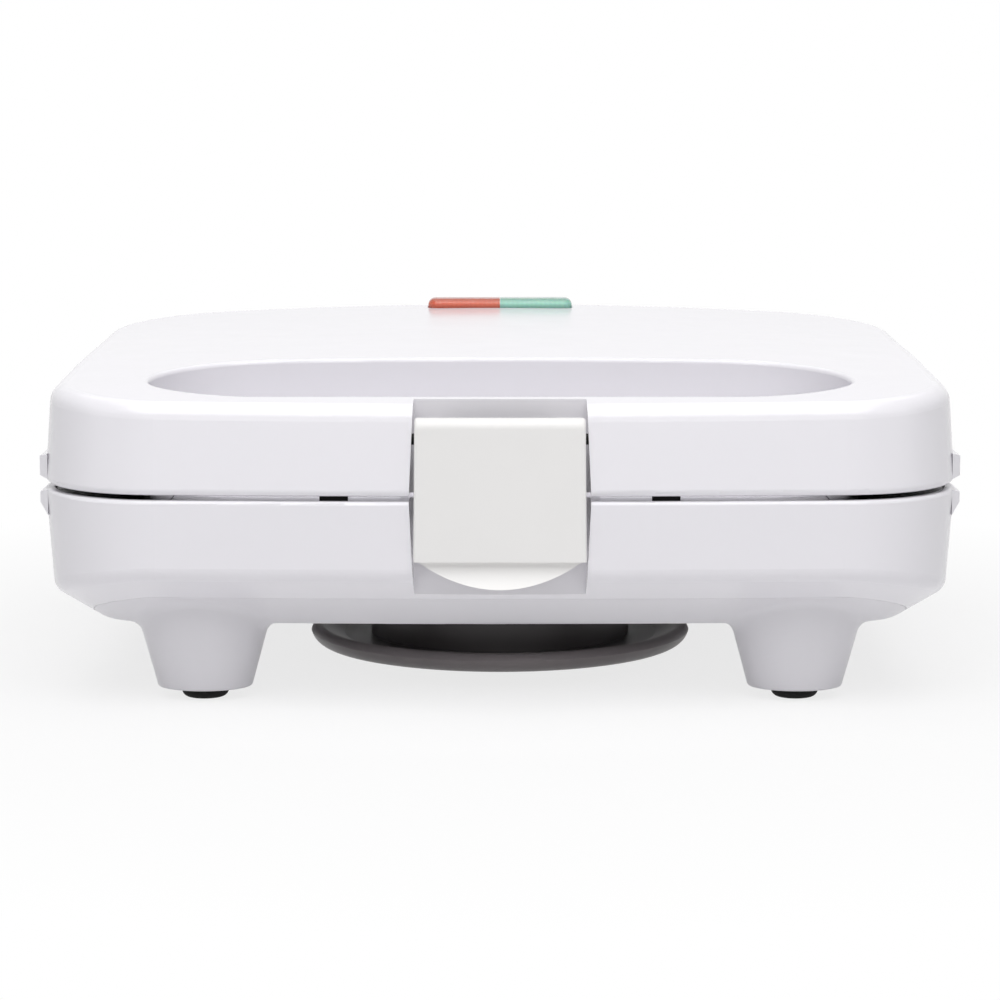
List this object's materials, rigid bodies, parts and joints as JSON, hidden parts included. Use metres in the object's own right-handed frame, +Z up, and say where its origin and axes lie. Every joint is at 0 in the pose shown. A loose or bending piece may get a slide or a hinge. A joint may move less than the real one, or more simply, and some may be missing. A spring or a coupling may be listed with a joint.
{
  "type": "sandwich maker",
  "caption": "White countertop sandwich maker with a hinged lid, finger opening and handle bar, front latch, diagonal pocket plates, indicator window and cord wrap underneath.",
  "frame": {"origin": "on the table under the middle of the closed object's box", "axes": "+X to the object's right seen from the front, +Y from the front to the hinge, +Z up"},
  "size_m": [0.2518, 0.2164, 0.0991],
  "materials": {
    "white_shell": "gloss, faintly lavender white",
    "latch_white": "satin warm white",
    "black_inner_cover": "gloss black heat-resistant plastic",
    "nonstick_plate": "cast aluminium with black non-stick coating",
    "heater_sheath": "dull sheath",
    "sheet_metal": "aluminised sheet",
    "thermostat_body": "ceramic and phenolic",
    "fuse_body": "satin",
    "block_plastic": "porcelain white",
    "lead_sleeve": "braided glass-fibre sleeve",
    "dark_grey_plastic": "satin dark grey",
    "black_rubber": "matt black",
    "screw_steel": "zinc plated",
    "pin_steel": "bright steel",
    "red_plastic": "translucent red plastic",
    "green_plastic": "translucent mint green plastic",
    "lamp_glass": "small neon lamp",
    "lamp_holder_plastic": "heat-resistant plastic"
  },
  "bodies": {
    "base": {"base_shell": "white_shell", "bottom_cover": "white_shell", "base_inner_cover": "black_inner_cover", "lower_plate": "nonstick_plate", "lower_heater": "heater_sheath", "lower_heater_clamps": "sheet_metal", "lower_heat_shield": "sheet_metal", "thermostat": "thermostat_body", "thermostat_bracket": "sheet_metal", "thermal_fuse": "fuse_body", "terminal_block": "block_plastic", "base_wiring": "lead_sleeve", "cord_gland": "black_rubber", "cord_wrap": "dark_grey_plastic", "stop_pads": "black_rubber", "left_hinge_pin": "pin_steel", "right_hinge_pin": "pin_steel", "lower_plate_screws": "screw_steel", "base_inner_cover_screws": "screw_steel", "bottom_cover_screws": "screw_steel", "cord_wrap_screws": "screw_steel", "front_left_foot_pad": "black_rubber", "front_right_foot_pad": "black_rubber", "rear_left_foot_pad": "black_rubber", "rear_right_foot_pad": "black_rubber"},
    "lid": {"lid_shell": "white_shell", "lid_inner_cover": "black_inner_cover", "upper_plate": "nonstick_plate", "upper_heater": "heater_sheath", "upper_heater_clamps": "sheet_metal", "upper_heat_shield": "sheet_metal", "lid_wiring": "lead_sleeve", "red_lens": "red_plastic", "green_lens": "green_plastic", "red_lamp": "lamp_glass", "green_lamp": "lamp_glass", "lamp_holder": "lamp_holder_plastic", "latch_pin": "pin_steel", "upper_plate_screws": "screw_steel", "lid_inner_cover_screws": "screw_steel", "lamp_holder_screws": "screw_steel"},
    "latch": {"latch": "latch_white"}
  },
  "joints": [
    {"name": "lid_hinge", "type": "hinge", "parent": "base", "child": "lid", "pos_m": [0, 0.10373, 0.05937], "axis": [-1, 0, 0], "range_deg": [0, 100]},
    {"name": "latch_pivot", "type": "hinge", "parent": "lid", "child": "latch", "pos_m": [0, -0.10027, 0.075], "axis": [-1, 0, 0], "range_deg": [0, 60]}
  ]
}
